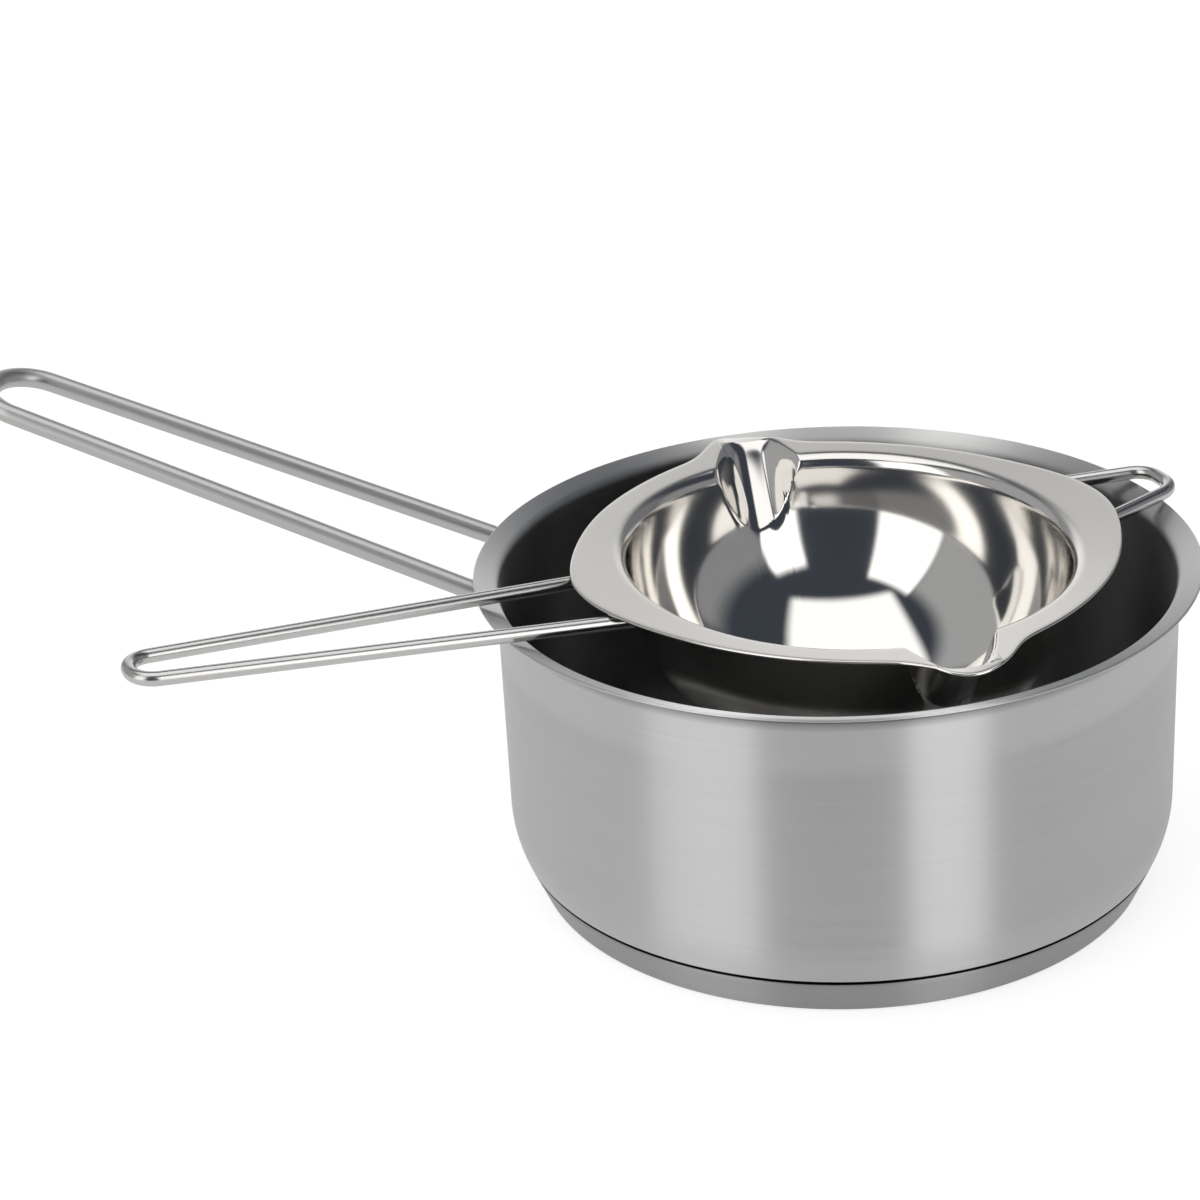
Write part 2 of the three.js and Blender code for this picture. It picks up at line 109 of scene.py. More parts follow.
# Sizes that follow from those above
pan_outer_radius = PAN_INNER_RADIUS + PAN_SHEET
lip_start = PAN_HEIGHT - LIP_FLARE
lip_edge_radius = PAN_INNER_RADIUS + LIP_FLARE + LIP_LAND
floor_underside = BASE_SHEET + SEAT + CORE_THICKNESS + SEAT
floor_top = floor_underside + PAN_SHEET
groove_top = BASE_HEIGHT + BASE_GROOVE
belly_top = groove_top + BELLY_RADIUS * math.sin(BASE_TAPER)
belly_foot_radius = pan_outer_radius - BELLY_RADIUS * (1 - math.cos(BASE_TAPER))
cap_wall_across = BASE_SHEET / math.cos(BASE_TAPER)
seat_across = SEAT / math.cos(BASE_TAPER)
plate_inner_radius = pan_outer_radius + SEAT
plate_outer_radius = plate_inner_radius + PLATE_THICKNESS
handle_root_radius = plate_outer_radius + SEAT
handle_root_half = PAN_HANDLE_ROOT_WIDTH / 2
handle_root_x = math.sqrt(handle_root_radius ** 2 - handle_root_half ** 2)
handle_root_height = lip_start - PAN_HANDLE_DROP
flange_top = PAN_HEIGHT + FLANGE_RISE
ear_radius = FLANGE_RADIUS + EAR_REACH
bowl_forward = BOWL_SHIFT @ np.array([math.cos(BOWL_TURN), math.sin(BOWL_TURN)])
ear_height = EAR_REACH * math.tan(FLANGE_SLOPE)
wire_edge_height = ear_height - BOWL_SHEET - SEAT - BOWL_WIRE / 2
wire_rest_height = SEAT + BOWL_WIRE / 2 - FLANGE_RISE
trough_end = FLANGE_RADIUS + SPOUT_REACH - SPOUT_BAND
trough_pivot = BOWL_MOUTH_RADIUS * (1 + BOWL_OVAL)
trough_length = BOWL_MOUTH_RADIUS / 2
flange_start = BOWL_MOUTH_RADIUS + BOWL_SHOULDER * (1 - math.sin(FLANGE_SLOPE))
wall_top = (flange_start - FLANGE_RADIUS) * math.tan(FLANGE_SLOPE) - BOWL_SHOULDER * math.cos(FLANGE_SLOPE)
spout_line = (SPOUT_ANGLES[0] + SPOUT_ANGLES[1] - math.pi) / 2

# Fineness of the surfaces
ROUND_STEPS = 288
PROFILE_STEP = 2.0
BOWL_RAYS = 384
BOWL_RINGS = 110
RAY_SAMPLES = 240
RAY_CROWDING = 0.6
TURN_WEIGHT = 8.0
WIRE_SIDES = 28
WIRE_EASE = 0.11  # taken off the wires, so that they stay inside the faceted solids' box
BEND_STEP = math.radians(4)
RUN_STEP = 4.0

# How the bowl's own frame lies in the part's frame, in millimetres
bowl_place = Matrix.Translation((*BOWL_SHIFT, flange_top)) @ Matrix.Rotation(BOWL_TURN, 4, "Z")


def placed(points, place):
    turn = np.array(place.to_3x3())
    return points @ turn.T + np.array(place.translation)


def make_piece(name, points, faces, material, body, stands_for=(), values=None, uvs=None):
    data = bpy.data.meshes.new(name)
    data.from_pydata((np.asarray(points) * MM).tolist(), [], [list(f) for f in faces])
    for key, per_point in (values or {}).items():
        layer = data.attributes.new(key, "FLOAT", "POINT")
        layer.data.foreach_set("value", np.asarray(per_point, np.float32))
    if uvs is not None:
        layer = data.uv_layers.new(name="UVMap")
        corners = np.empty(len(data.loops), int)
        data.loops.foreach_get("vertex_index", corners)
        layer.data.foreach_set("uv", np.asarray(uvs, np.float32)[corners].ravel())
    work = bmesh.new()
    work.from_mesh(data)
    bmesh.ops.recalc_face_normals(work, faces=work.faces)
    work.to_mesh(data)
    work.free()
    data.shade_smooth()
    data.materials.append(material)
    piece = bpy.data.objects.new(name, data)
    bpy.context.scene.collection.objects.link(piece)
    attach(piece, body)
    if stands_for:
        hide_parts(*stands_for)


# Profiles of the turned pieces


def arc(centre_x, centre_z, radius, start, end, steps):
    turn = np.linspace(start, end, steps + 1)
    return np.column_stack([centre_x + radius * np.cos(turn), centre_z + radius * np.sin(turn)])


def refined(profile, step):
    """The profile with points added, so that no run is longer than step."""
    out = [profile[0]]
    for a, b in zip(profile[:-1], profile[1:]):
        count = max(1, math.ceil(np.linalg.norm(b - a) / step))
        out += [a + (b - a) * (i / count) for i in range(1, count + 1)]
    return np.array(out)


def skin(rings, first, last):
    """Points and faces of a closed skin over rings of points, with one point at each end."""
    count, around = rings.shape[:2]
    points = np.vstack([first, rings.reshape(-1, 3), last])
    last_ring = 1 + (count - 1) * around
    faces = []
    for j in range(around):
        k = (j + 1) % around
        faces.append((0, 1 + k, 1 + j))
        faces += [(a + j, a + k, a + around + k, a + around + j) for a in range(1, last_ring, around)]
        faces.append((last_ring + j, last_ring + k, len(points) - 1))
    return points, faces


def revolve(profile):
    """Points and faces of a closed turned solid. The profile starts and ends on the axis."""
    turn = np.linspace(0, 2 * np.pi, ROUND_STEPS, endpoint=False)
    ring = profile[1:-1]
    rings = np.stack([
        ring[:, :1] * np.cos(turn),
        ring[:, :1] * np.sin(turn),
        np.repeat(ring[:, 1:], ROUND_STEPS, axis=1),
    ], axis=-1)
    return skin(rings, [0, 0, profile[0][1]], [0, 0, profile[-1][1]])


def spun(per_profile):
    """A value for each point of revolve(), from one for each point of the profile."""
    return np.concatenate([per_profile[:1], np.repeat(per_profile[1:-1], ROUND_STEPS), per_profile[-1:]])


def cap_radius_at(z):
    return belly_foot_radius - (groove_top - z) * math.tan(BASE_TAPER)


def floor_corner_radius():
    inward = cap_radius_at(BASE_HEIGHT) - cap_wall_across - seat_across - PAN_INNER_RADIUS
    rise = BASE_HEIGHT - floor_top
    half = rise + PAN_SHEET - inward
    return half + math.sqrt(half ** 2 - inward ** 2 - rise ** 2 + PAN_SHEET ** 2)


LIP_CURVE = 2.5  # the lip turns out on this radius
LIP_RISE = math.radians(20)  # and ends in a land that still rises outwards


def pan_profiles():
    """The vessel's outside from the axis to the lip's edge, and its inside from there back to the axis."""
    corner = floor_corner_radius()
    corner_x = PAN_INNER_RADIUS - corner
    corner_z = floor_top + corner
    under = corner + PAN_SHEET
    groove_angle = -math.asin((corner_z - groove_top) / under)
    half = PAN_SHEET / 2
    edge_z = PAN_HEIGHT - half
    turned = math.pi / 2 + LIP_RISE
    flare_x = PAN_INNER_RADIUS + LIP_CURVE
    land = (lip_edge_radius - flare_x + (LIP_CURVE - half) * math.sin(LIP_RISE)) / math.cos(LIP_RISE)
    flare_z = edge_z - land * math.sin(LIP_RISE) - (LIP_CURVE - half) * math.cos(LIP_RISE)
    outside = np.vstack([
        [[0, floor_underside]],
        arc(corner_x, corner_z, under, -math.pi / 2, groove_angle, steps=12),
        arc(pan_outer_radius - BELLY_RADIUS, belly_top, BELLY_RADIUS, -BASE_TAPER, 0, steps=14),
        arc(flare_x, flare_z, LIP_CURVE - PAN_SHEET, math.pi, turned, steps=14),
        arc(lip_edge_radius, edge_z, half, turned - math.pi, turned, steps=8),
    ])
    inside = np.vstack([
        arc(flare_x, flare_z, LIP_CURVE, turned, math.pi, steps=16),
        arc(corner_x, corner_z, corner, 0, -math.pi / 2, steps=16),
        [[0, floor_top]],
    ])
    return refined(outside, PROFILE_STEP), refined(inside, PROFILE_STEP)


CAP_EDGE_ROUND = 0.15


def cap_profile():
    foot_x = cap_radius_at(0) - BASE_FOOT_RADIUS
    edge_x = cap_radius_at(BASE_HEIGHT)
    edge_low = BASE_HEIGHT - CAP_EDGE_ROUND
    outer_low = cap_radius_at(edge_low)
    return refined(np.vstack([
        [[0, 0]],
        arc(foot_x, BASE_FOOT_RADIUS, BASE_FOOT_RADIUS, -math.pi / 2, -BASE_TAPER, steps=10),
        [[outer_low, edge_low], [edge_x - CAP_EDGE_ROUND, BASE_HEIGHT]],
        [[edge_x - cap_wall_across + CAP_EDGE_ROUND, BASE_HEIGHT], [outer_low - cap_wall_across, edge_low]],
        [[cap_radius_at(BASE_SHEET) - cap_wall_across, BASE_SHEET], [0, BASE_SHEET]],
    ]), PROFILE_STEP)


# Wires


def wire_stations(corners, bends):
    """Points along a wire: straight runs between corners, each inner corner rounded by an arc."""
    corners = [Vector(c) for c in corners]
    runs = [(b - a).normalized() for a, b in zip(corners[:-1], corners[1:])]
    line = [corners[0]]
    for corner, into, out, radius in zip(corners[1:-1], runs[:-1], runs[1:], bends):
        turn = into.angle(out)
        side = (out - into * out.dot(into)).normalized()
        start = corner - into * radius * math.tan(turn / 2)
        centre = start + side * radius
        steps = math.ceil(turn / BEND_STEP)
        for i in range(steps + 1):
            angle = turn * i / steps
            line.append(centre + (into * math.sin(angle) - side * math.cos(angle)) * radius)
    line.append(corners[-1])
    return refined(np.array([p[:] for p in line]), RUN_STEP)


END_ROUND = 0.5
END_STEPS = 5


def wire_tube(line, diameter):
    """Points, faces and a UV in metres of a round wire along a line, with softly rounded ends."""
    along = np.gradient(line, axis=0)
    along /= np.linalg.norm(along, axis=1)[:, None]
    travelled = np.concatenate([[0], np.cumsum(np.linalg.norm(np.diff(line, axis=0), axis=1))])
    radius = (diameter - WIRE_EASE) / 2
    soft = [(END_ROUND * (1 - math.sin(a)), radius - END_ROUND * (1 - math.cos(a)))
            for a in np.linspace(math.pi / 2, 0, END_STEPS)]
    rings = [(line[0] + along[0] * back, along[0], r, back) for back, r in soft]
    rings += [(p, t, radius, s) for p, t, s in zip(line[1:-1], along[1:-1], travelled[1:-1])]
    rings += [(line[-1] - along[-1] * back, along[-1], r, travelled[-1] - back)
              for back, r in reversed(soft)]
    across = np.array(Vector(along[0]).orthogonal().normalized())
    turn = np.linspace(0, 2 * np.pi, WIRE_SIDES, endpoint=False)
    points, uvs = [], []
    for centre, heading, r, s in rings:
        across = across - heading * (across @ heading)
        across /= np.linalg.norm(across)
        other = np.cross(heading, across)
        points += [centre + r * (math.cos(t) * across + math.sin(t) * other) for t in turn]
        uvs += [(r * min(t, 2 * np.pi - t) * MM, s * MM) for t in turn]
    faces = [tuple(range(WIRE_SIDES))]
    for i in range(len(rings) - 1):
        a = i * WIRE_SIDES
        for j in range(WIRE_SIDES):
            k = (j + 1) % WIRE_SIDES
            faces.append((a + j, a + k, a + WIRE_SIDES + k, a + WIRE_SIDES + j))
    faces.append(tuple(range((len(rings) - 1) * WIRE_SIDES, len(rings) * WIRE_SIDES)))
    return np.array(points), faces, np.array(uvs)


def pan_handle_line():
    end_half = PAN_HANDLE_END_WIDTH / 2
    end_height = handle_root_height + (PAN_HANDLE_REACH - handle_root_x) * math.tan(PAN_HANDLE_SLOPE)

    def side(sign):
        return [(-handle_root_x, sign * handle_root_half, handle_root_height),
                (-PAN_HANDLE_REACH, sign * end_half, end_height)]

    return wire_stations(side(1) + side(-1)[::-1], [PAN_HANDLE_END_BEND, PAN_HANDLE_END_BEND])


def flange_loop_line(heading, past_lip, root_width, end_width, end_bend, aside):
    """A wire loop's line: from under an ear, along the bowl's x axis or against it, over the pan's lip."""
    root_x = BOWL_MOUTH_RADIUS + BOWL_SHOULDER + BOWL_SHEET + SEAT
    lip_x = PAN_INNER_RADIUS + LIP_FLARE - heading * bowl_forward
    reach = lip_x + past_lip
    slope = (wire_rest_height - wire_edge_height) / (lip_x - ear_radius)

    def corner(x, y):
        return (heading * x, aside + y, wire_edge_height + (x - ear_radius) * slope)

    corners = [corner(root_x, root_width / 2), corner(reach, end_width / 2),
               corner(reach, -end_width / 2), corner(root_x, -root_width / 2)]
    return wire_stations(corners, [end_bend, end_bend])


# The weld plate and the weld beads of the pan's handle

PLATE_EDGE = 0.3  # rounding of the plate's outer edges
PLATE_EDGE_STEPS = 4
PLATE_ROWS = 15
PLATE_COLUMNS = 60
PLATE_CORNER_STEPS = 8
SPOT_WELDS = (-7.0, 0.0, 7.0)  # along the plate
SPOT_DEPTH = 0.12
SPOT_SPREAD = 1.3


def rounded_grid(half_width, half_height, corner):
    """Rows and columns of points over a rectangle with round corners."""
    straight = half_width - corner
    end = straight + corner * np.sin(np.linspace(0, math.pi / 2, PLATE_CORNER_STEPS + 1)[1:])
    columns = np.concatenate([-end[::-1], np.linspace(-straight, straight, PLATE_COLUMNS), end])
    past = np.maximum(np.abs(columns) - straight, 0)
    reach = half_height - corner + np.sqrt(np.maximum(corner ** 2 - past ** 2, 0))
    rows = np.linspace(-1, 1, PLATE_ROWS)
    return np.stack([np.repeat(columns[:, None], PLATE_ROWS, axis=1), reach[:, None] * rows], axis=-1)


def plate_mesh():
    half_width = handle_root_half + PLATE_MARGIN
    half_height = PLATE_HEIGHT / 2
    turns = np.linspace(0, math.pi / 2, PLATE_EDGE_STEPS + 1)
    layers = [(0, plate_inner_radius)]
    layers += [(PLATE_EDGE * (1 - math.cos(t)), plate_outer_radius - PLATE_EDGE * (1 - math.sin(t)))
               for t in turns]

    def on_pan(flat, radius):
        across, up = flat.T
        return np.column_stack([-np.sqrt(radius ** 2 - across ** 2), across, lip_start - half_height + up])

    def flat_of(inset):
        return rounded_grid(half_width - inset, half_height - inset, PLATE_CORNER - inset)

    columns = len(flat_of(0))
    index = np.arange(columns * PLATE_ROWS).reshape(columns, PLATE_ROWS)
    rim = np.concatenate([index[:-1, 0], index[-1, :-1], index[:0:-1, -1], index[0, :0:-1]])
    sheet = [(index[i, j], index[i + 1, j], index[i + 1, j + 1], index[i, j + 1])
             for i in range(columns - 1) for j in range(PLATE_ROWS - 1)]
    points = on_pan(flat_of(0).reshape(-1, 2), plate_inner_radius)
    faces = list(sheet)
    loops = [rim]
    for inset, radius in layers[1:-1]:
        loops.append(len(points) + np.arange(len(rim)))
        points = np.vstack([points, on_pan(flat_of(inset).reshape(-1, 2)[rim], radius)])
    inset, radius = layers[-1]
    front = flat_of(inset).reshape(-1, 2)
    off_weld = [np.hypot(front[:, 0] - weld, front[:, 1]) for weld in SPOT_WELDS]
    dent = sum(np.exp(-((off / SPOT_SPREAD) ** 2)) for off in off_weld)
    faces += [tuple(i + len(points) for i in face) for face in sheet]
    loops.append(len(points) + rim)
    points = np.vstack([points, on_pan(front, radius - SPOT_DEPTH * dent)])
    for low, high in zip(loops[:-1], loops[1:]):
        faces += [(low[i - 1], low[i], high[i], high[i - 1]) for i in range(len(rim))]
    return points, faces


BEAD_WIDTH = 1.3
BEAD_HEIGHT = 1.5
BEAD_SINK = 0.25
BEAD_SIDES = 40
BEAD_STEPS = 8
BEAD_RIPPLES = 7
BEAD_RIPPLE = 0.06


def weld_bead(sign):
    """A fillet of weld around one end of the wire, on the plate, leaning with the wire."""
    wire = PAN_WIRE / 2 - WIRE_EASE
    turn = np.linspace(0, math.pi / 2, BEAD_STEPS)
    fillet = np.column_stack([wire + BEAD_WIDTH * (1 - np.sin(turn)), BEAD_HEIGHT * (1 - np.cos(turn))])
    core = wire - BEAD_WIDTH
    profile = np.vstack([[core, -BEAD_SINK], [wire + BEAD_WIDTH, -BEAD_SINK], fillet, [core, BEAD_HEIGHT]])
    lean = math.asin(handle_root_half / plate_outer_radius)
    outward = np.array([-math.cos(lean), sign * math.sin(lean), 0])
    upward = np.array([0, 0, 1.0])
    sideways = np.cross(upward, outward)
    foot = plate_outer_radius * outward + handle_root_height * upward
    points = []
    for angle in np.linspace(0, 2 * np.pi, BEAD_SIDES, endpoint=False):
        ripple = 1 + BEAD_RIPPLE * math.sin(BEAD_RIPPLES * angle)
        for radius, height in profile:
            wide = wire + (radius - wire) * ripple if radius > wire else radius
            rise = height * math.tan(PAN_HANDLE_SLOPE) + wide * math.sin(angle)
            points.append(foot + outward * height + upward * rise + sideways * wide * math.cos(angle))
    count = len(profile)
    faces = []
    for i in range(BEAD_SIDES):
        for j in range(count):
            a, b = i * count, (i + 1) % BEAD_SIDES * count
            k = (j + 1) % count
            faces.append((a + j, a + k, b + k, b + j))
    return np.array(points), faces


# The bowl's shell, as one height over its plan


def soft_lower(a, b, depth):
    near = np.maximum(depth - np.abs(a - b), 0)
    return np.minimum(a, b) - near ** 2 / (4 * depth)


def round_bowl_height(radius):
    flange = (radius - FLANGE_RADIUS) * math.tan(FLANGE_SLOPE)
    in_shoulder = np.clip(BOWL_MOUTH_RADIUS + BOWL_SHOULDER - radius, 0, BOWL_SHOULDER)
    shoulder = wall_top + np.sqrt(BOWL_SHOULDER ** 2 - in_shoulder ** 2)
    share = np.maximum(1 - (radius / BOWL_MOUTH_RADIUS) ** 2, 0)
    wall = wall_top - (BOWL_DEPTH + wall_top) * np.sqrt(share)
    return np.where(radius > flange_start, flange, np.where(radius > BOWL_MOUTH_RADIUS, shoulder, wall))


def off_spout(angle):
    """Angle from the nearer spout to a ray."""
    first, second = (np.arctan2(np.sin(angle - s), np.cos(angle - s)) for s in SPOUT_ANGLES)
    return np.where(np.abs(first) < np.abs(second), first, second)


def oval_scale(angle):
    return 1 + BOWL_OVAL * np.cos(off_spout(angle)) ** 2


def trough_height(out, aside):
    share = np.clip(trough_end - out, 0, trough_length) / SPOUT_RUN
    depth = SPOUT_LIP_DEPTH + (SPOUT_MOUTH_DEPTH - SPOUT_LIP_DEPTH) * share ** SPOUT_SCOOP
    width = SPOUT_LIP_WIDTH + (SPOUT_MOUTH_WIDTH - SPOUT_LIP_WIDTH) * share ** SPOUT_FLARE
    return depth * (np.abs(2 * aside / width) ** SPOUT_ROUNDNESS - 1)


def bowl_height(radius, angle):
    off = off_spout(angle)
    out = radius * np.cos(off) - trough_pivot
    aside = radius * np.sin(off)
    cos, sin = math.cos(SPOUT_SWERVE), math.sin(SPOUT_SWERVE)
    trough = trough_height(trough_pivot + out * cos + aside * sin, aside * cos - out * sin)
    return soft_lower(round_bowl_height(radius / oval_scale(angle)), trough, SPOUT_CREASE)


def flange_radius(angle):
    off_wire = np.arcsin(np.abs(np.sin(angle)))
    ear = EAR_REACH * np.exp(-((off_wire / EAR_SPREAD) ** 2))
    off = np.abs(off_spout(angle))
    foot = SPOUT_FOOT_SHARE * np.exp(-((off / SPOUT_FOOT_SPREAD) ** 2))
    tip = (1 - SPOUT_FOOT_SHARE) * np.exp(-((off / SPOUT_TIP_SPREAD) ** SPOUT_TIP_BLUNTNESS))
    return FLANGE_RADIUS + ear + SPOUT_REACH * (foot + tip)


def bowl_ray(angle, edge):
    """Radii and heights from the bowl's middle to an edge, closer where the section bends."""
    mouth = BOWL_MOUTH_RADIUS * oval_scale(angle)
    shoulder = BOWL_SHOULDER * oval_scale(angle)
    share = np.arange(RAY_SAMPLES) / RAY_SAMPLES
    radii = np.concatenate([
        mouth * np.sin(share * math.pi / 2),
        mouth + shoulder * (1 - np.cos(share * math.pi / 2)),
        mouth + shoulder + (edge - mouth - shoulder) * share,
        [edge],
    ])
    heights = bowl_height(radii, np.full_like(radii, angle))
    heading = np.arctan2(np.diff(heights), np.diff(radii))
    bend = np.concatenate([[0], np.abs(np.diff(heading))])
    runs = np.hypot(np.diff(radii), np.diff(heights)) + TURN_WEIGHT * bend
    travelled = np.concatenate([[0], np.cumsum(runs)])
    wanted = travelled[-1] * np.arange(1, BOWL_RINGS + 1) / BOWL_RINGS
    return np.interp(wanted, travelled, radii), np.interp(wanted, travelled, heights)


RIM_STEPS = 6


def bowl_shell_mesh():
    """Points and faces of the pressed sheet, with its edge rounded."""
    even = np.linspace(0, 2 * np.pi, BOWL_RAYS, endpoint=False)
    angles = even - RAY_CROWDING / 2 * np.sin(2 * (even - spout_line))
    half = BOWL_SHEET / 2
    net = np.empty((BOWL_RINGS, BOWL_RAYS, 3))
    for j, angle in enumerate(angles):
        radii, heights = bowl_ray(angle, flange_radius(angle) - half)
        net[:, j] = np.column_stack([radii * math.cos(angle), radii * math.sin(angle), heights])
    middle = np.array([0, 0, float(bowl_height(np.zeros(1), np.zeros(1))[0])])
    around = np.roll(net, -1, axis=1) - np.roll(net, 1, axis=1)
    outward = np.gradient(np.concatenate([np.broadcast_to(middle, (1, BOWL_RAYS, 3)), net]), axis=0)[1:]
    normal = np.cross(outward, around)
    normal /= np.linalg.norm(normal, axis=-1)[..., None]
    under = net - normal * BOWL_SHEET
    edge_normal = normal[-1]
    edge_out = np.cross(around[-1], edge_normal)
    edge_out /= np.linalg.norm(edge_out, axis=-1)[:, None]
    rim = [net[-1] - edge_normal * half + half * (edge_normal * math.cos(t) + edge_out * math.sin(t))
           for t in np.linspace(0, math.pi, RIM_STEPS + 2)[1:-1]]
    rings = np.concatenate([net, np.array(rim), under[::-1]])
    return skin(rings, middle, middle - [0, 0, BOWL_SHEET])


# Materials

BAND_POLISH = 0.6  # polish value of the pan's bright band
NOISE_SPREAD = (0.3, 0.7)  # most values of a noise lie between these
# Painted shade: the steel is mixed towards this dark colour by the shade value
PAINTED_SHADE_COLOUR = (0.03, 0.03, 0.03, 1)  # where the shade value is 1

# The pan's steel: how fine its lines, streaks and clouds are, and its colours and roughness on wall, band
# and lip, the lip's colour lighter as painted light
PAN_LINES = (6, 6, 4500)
PAN_STREAKS = (8, 8, 900)
PAN_CLOUDS = (25, 25, 40)
PAN_LINE_DEPTH = 0.000005
WALL_COLOURS = ((0.6, 0.6, 0.595), (0.72, 0.72, 0.715))
LIP_COLOURS_WITH_PAINTED_LIGHT = ((0.88, 0.875, 0.86), (0.94, 0.935, 0.92))
WALL_ROUGHNESS = (0.35, 0.385)
BAND_ROUGHNESS = (0.29, 0.31)
LIP_ROUGHNESS = (0.5, 0.54)

# The bowl's steel
BOWL_CLOUDS = (45, 45, 45)
BOWL_WAVES = (60, 60, 60)
BOWL_WAVE_DEPTH = 0.00004
SATIN_COLOURS = ((0.66, 0.64, 0.605), (0.7, 0.68, 0.645))
MIRROR_COLOURS = ((0.79, 0.769, 0.737), (0.82, 0.799, 0.767))
SATIN_ROUGHNESS = (0.28, 0.32)
MIRROR_ROUGHNESS = (0.03, 0.045)

# The wires, and the grain of weld metal and aluminium
WIRE_LINES = (2500, 12, 1)
GRAIN = (900, 900, 900)
GRAIN_DEPTH = 0.00003


class Nodes:
    """A node tree, with short calls to add and join nodes."""

    def __init__(self, tree):
        self.tree = tree

    def add(self, kind, settings=None, **inputs):
        node = self.tree.nodes.new(kind)
        for key, value in (settings or {}).items():
            setattr(node, key, value)
        for key, value in inputs.items():
            self.put(node.inputs[key.replace("_", " ")], value)
        return node

    def put(self, socket, value):
        if isinstance(value, bpy.types.NodeSocket):
            self.tree.links.new(value, socket)
        else:
            socket.default_value = value

    def put_all(self, sockets, values):
        for socket, value in zip(sockets, values):
            self.put(socket, value)

    def math(self, operation, a, b=0.0):
        node = self.add("ShaderNodeMath", {"operation": operation})
        self.put_all(node.inputs, (a, b))
        return node.outputs[0]

    def ramp(self, value, low, high, to_low, to_high, interpolation="LINEAR"):
        node = self.add("ShaderNodeMapRange", {"clamp": True, "interpolation_type": interpolation})
        self.put_all(node.inputs, (value, low, high, to_low, to_high))
        return node.outputs[0]

    def between(self, value, low, high, soft, level=1.0):
        """A level between two values, falling softly to nothing beyond them."""
        rise = self.ramp(value, low - soft, low + soft, 0, level, "SMOOTHSTEP")
        return self.math("MULTIPLY", rise, self.ramp(value, high - soft, high + soft, 1, 0, "SMOOTHSTEP"))

    def mix(self, share, a, b):
        node = self.add("ShaderNodeMix", {"data_type": "FLOAT"})
        self.put_all((node.inputs[0], node.inputs[2], node.inputs[3]), (share, a, b))
        return node.outputs[0]

    def mix_colour(self, share, a, b):
        node = self.add("ShaderNodeMix", {"data_type": "RGBA"})
        self.put_all((node.inputs[0], node.inputs[6], node.inputs[7]), (share, a, b))
        return node.outputs[2]

    def stretched_noise(self, source, scale, detail):
        mapped = self.add("ShaderNodeMapping", None, Vector=source, Scale=scale).outputs[0]
        return self.add("ShaderNodeTexNoise", None, Vector=mapped, Scale=1.0, Detail=detail).outputs["Fac"]

    def varied(self, noise, low, high):
        return self.ramp(noise, *NOISE_SPREAD, low, high)

    def colour(self, noise, dark, light):
        node = self.add("ShaderNodeValToRGB", None, Fac=noise)
        node.color_ramp.elements[0].color = (*dark, 1)
        node.color_ramp.elements[1].color = (*light, 1)
        return node.outputs[0]


class Material(Nodes):
    """A new material, of metal unless told otherwise."""

    def __init__(self, name, metallic=1.0):
        self.material = bpy.data.materials.new(name)
        self.material.use_nodes = True
        super().__init__(self.material.node_tree)
        self.shader = self.tree.nodes["Principled BSDF"]
        self.set(Metallic=metallic)

    def attribute(self, name):
        return self.add("ShaderNodeAttribute", {"attribute_name": name}).outputs["Fac"]

    def coords(self, kind):
        return self.add("ShaderNodeTexCoord").outputs[kind]

    def bump(self, height, depth, strength):
        return self.add("ShaderNodeBump", None, Strength=strength, Distance=depth, Height=height).outputs[0]

    def set(self, **inputs):
        for key, value in inputs.items():
            self.put(self.shader.inputs[key.replace("_", " ")], value)


def pan_steel():
    """Steel brushed around the axis. The polish value sets wall, band and lip apart, with painted light on
    the lip, and the shade value mixes in painted shade.
    """
    n = Material("pan_steel")
    at = n.coords("Object")
    polish = n.attribute("polish")
    shade = n.attribute("shade")
    split = n.add("ShaderNodeSeparateXYZ", None, Vector=at)
    x, y, z = (split.outputs[axis] for axis in "XYZ")
    radius = n.math("SQRT", n.math("ADD", n.math("POWER", x, 2.0), n.math("POWER", y, 2.0)))
    along = n.add("ShaderNodeCombineXYZ", None, X=x, Y=y, Z=n.math("ADD", z, radius)).outputs[0]
    lines = n.stretched_noise(along, PAN_LINES, detail=4.0)
    streaks = n.stretched_noise(along, PAN_STREAKS, detail=4.0)
    cloud = n.stretched_noise(at, PAN_CLOUDS, detail=2.0)
    on_lip = n.ramp(polish, BAND_POLISH, 1.0, 0.0, 1.0)
    brushed = n.colour(n.mix(0.5, lines, streaks), *WALL_COLOURS)
    # Painted light: the lip takes a much lighter colour than the wall
    finish_and_lip_light = n.mix_colour(on_lip, brushed, n.colour(cloud, *LIP_COLOURS_WITH_PAINTED_LIGHT))
    rough = n.mix(polish, n.varied(streaks, *WALL_ROUGHNESS), n.varied(cloud, *BAND_ROUGHNESS))
    # Painted shade: the shade value mixes the base colour towards the painted shade colour
    n.set(
        Base_Color=n.mix_colour(shade, finish_and_lip_light, PAINTED_SHADE_COLOUR),
        Roughness=n.mix(on_lip, rough, n.varied(cloud, *LIP_ROUGHNESS)),
        Anisotropic=1.0,
        Anisotropic_Rotation=0.25,
        Tangent=n.add("ShaderNodeTangent", {"direction_type": "RADIAL", "axis": "Z"}).outputs[0],
        Normal=n.bump(lines, PAN_LINE_DEPTH, strength=0.3),
    )
    return n.material


